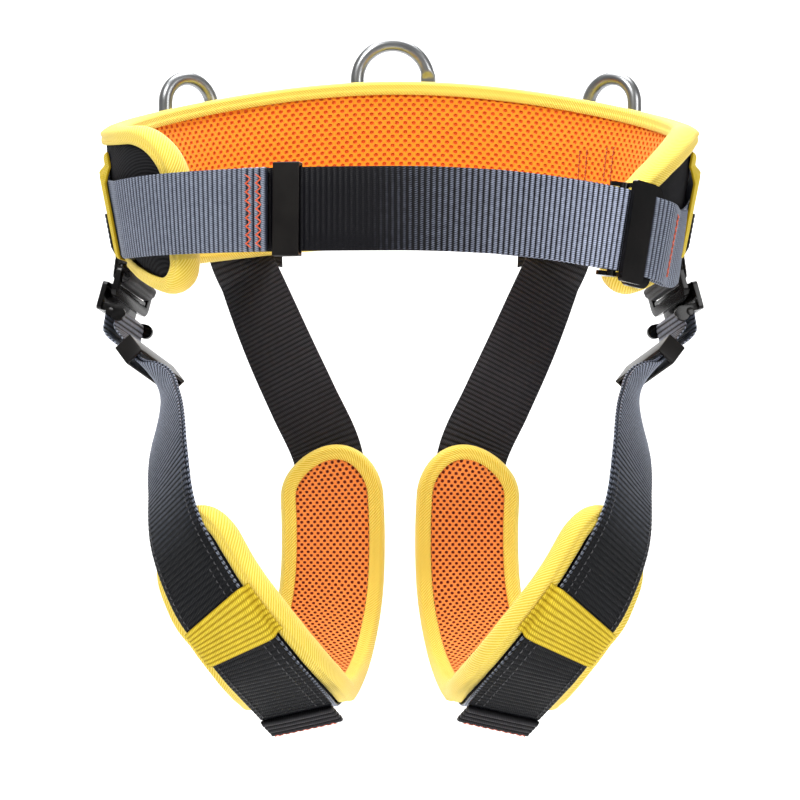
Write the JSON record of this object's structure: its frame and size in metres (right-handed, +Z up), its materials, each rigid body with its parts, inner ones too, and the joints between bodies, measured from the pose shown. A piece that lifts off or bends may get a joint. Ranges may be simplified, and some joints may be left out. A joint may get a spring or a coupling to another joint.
{
  "type": "tree climbing saddle",
  "caption": "Padded tree climbing saddle: a waist belt with a back ring and side rings, a front strap with a hooked plate buckle, and padded leg loops on hip buckles and back straps.",
  "frame": {"origin": "the middle of the waist opening, at the height of the front strap, which is the mount waist_opening", "axes": "+Z up as worn and the longest extent, -Y to the wearer's front, +X to the right seen from the front; left in a node name means -X"},
  "size_m": [0.366, 0.2792, 0.4363],
  "materials": {
    "orange_mesh": "matte",
    "foam": "matte",
    "black_twill": "matte",
    "yellow_binding": "satin",
    "yellow_webbing": "satin",
    "black_plastic": "satin",
    "bright_steel": "polished",
    "black_steel": "gloss",
    "black_webbing": "satin"
  },
  "bodies": {
    "belt": {"belt_lining": "orange_mesh", "belt_foam": "foam", "belt_cover": "black_twill", "belt_binding": "yellow_binding", "belt_webbing": "black_webbing", "front_strap": "black_webbing", "waist_buckle_frame": "black_steel", "back_ring_loop": "black_webbing", "side_ring_loop_left": "black_webbing", "side_ring_loop_right": "black_webbing", "hip_tab_left": "black_webbing", "hip_tab_right": "black_webbing", "back_anchor_left": "black_webbing", "back_anchor_right": "black_webbing", "side_band_left": "yellow_webbing", "side_band_right": "yellow_webbing"},
    "waist_plate": {"waist_buckle_plate": "black_steel", "waist_buckle_bar": "black_steel"},
    "front_keeper": {"front_keeper": "black_plastic"},
    "back_ring": {"back_ring": "bright_steel"},
    "side_ring_left": {"side_ring_left": "bright_steel"},
    "side_ring_right": {"side_ring_right": "bright_steel"},
    "leg_loop_left": {"hip_buckle_frame_left": "black_steel", "leg_strap_left": "black_webbing", "leg_sleeve_left": "yellow_webbing", "leg_lining_left": "orange_mesh", "leg_foam_left": "foam", "leg_cover_left": "black_twill", "leg_binding_left": "yellow_binding", "back_strap_left": "black_webbing"},
    "hip_plate_left": {"hip_buckle_plate_left": "black_steel", "hip_buckle_bar_left": "black_steel"},
    "leg_keeper_left": {"leg_keeper_left": "black_plastic"},
    "leg_loop_right": {"hip_buckle_frame_right": "black_steel", "leg_strap_right": "black_webbing", "leg_sleeve_right": "yellow_webbing", "leg_lining_right": "orange_mesh", "leg_foam_right": "foam", "leg_cover_right": "black_twill", "leg_binding_right": "yellow_binding", "back_strap_right": "black_webbing"},
    "hip_plate_right": {"hip_buckle_plate_right": "black_steel", "hip_buckle_bar_right": "black_steel"},
    "leg_keeper_right": {"leg_keeper_right": "black_plastic"}
  },
  "joints": [
    {"name": "waist_plate_turn", "type": "hinge", "parent": "belt", "child": "waist_plate", "pos_m": [0.11962, -0.09683, -0.0062], "axis": [-0.155, 0.0033, -0.9879], "range_deg": [0, 25]},
    {"name": "front_keeper_slide", "type": "slide", "parent": "belt", "child": "front_keeper", "axis": [0.9586, -0.2846, -0.0098], "range_m": [0, 0.006]},
    {"name": "back_ring_turn", "type": "hinge", "parent": "belt", "child": "back_ring", "pos_m": [-0.00487, 0.13886, 0.088], "axis": [-0.9998, -0.0185, 0], "range_deg": [0, 115]},
    {"name": "side_ring_left_turn", "type": "hinge", "parent": "belt", "child": "side_ring_left", "pos_m": [-0.13784, 0.09648, 0.064], "axis": [-0.7972, -0.6037, 0], "range_deg": [0, 115]},
    {"name": "side_ring_right_turn", "type": "hinge", "parent": "belt", "child": "side_ring_right", "pos_m": [0.13784, 0.09648, 0.064], "axis": [-0.7972, 0.6037, 0], "range_deg": [0, 115]},
    {"name": "leg_loop_left_swing", "type": "hinge", "parent": "belt", "child": "leg_loop_left", "pos_m": [-0.16338, 0.02919, -0.02755], "axis": [0.6052, 0.7826, 0.1459], "range_deg": [-2, 8]},
    {"name": "hip_plate_left_turn", "type": "hinge", "parent": "leg_loop_left", "child": "hip_plate_left", "pos_m": [-0.16938, 0.02569, -0.05156], "axis": [-0.2083, -0.959, 0.1919], "range_deg": [0, 25]},
    {"name": "leg_keeper_left_slide", "type": "slide", "parent": "leg_loop_left", "child": "leg_keeper_left", "axis": [0.5494, -0.521, -0.6533], "range_m": [0, 0.003]},
    {"name": "leg_loop_right_swing", "type": "hinge", "parent": "belt", "child": "leg_loop_right", "pos_m": [0.16338, 0.02919, -0.02755], "axis": [0.6052, -0.7826, -0.1459], "range_deg": [-2, 8]},
    {"name": "hip_plate_right_turn", "type": "hinge", "parent": "leg_loop_right", "child": "hip_plate_right", "pos_m": [0.16938, 0.02569, -0.05156], "axis": [-0.2083, 0.959, -0.1919], "range_deg": [0, 25]},
    {"name": "leg_keeper_right_slide", "type": "slide", "parent": "leg_loop_right", "child": "leg_keeper_right", "axis": [-0.5494, -0.521, -0.6533], "range_m": [0, 0.003]}
  ]
}
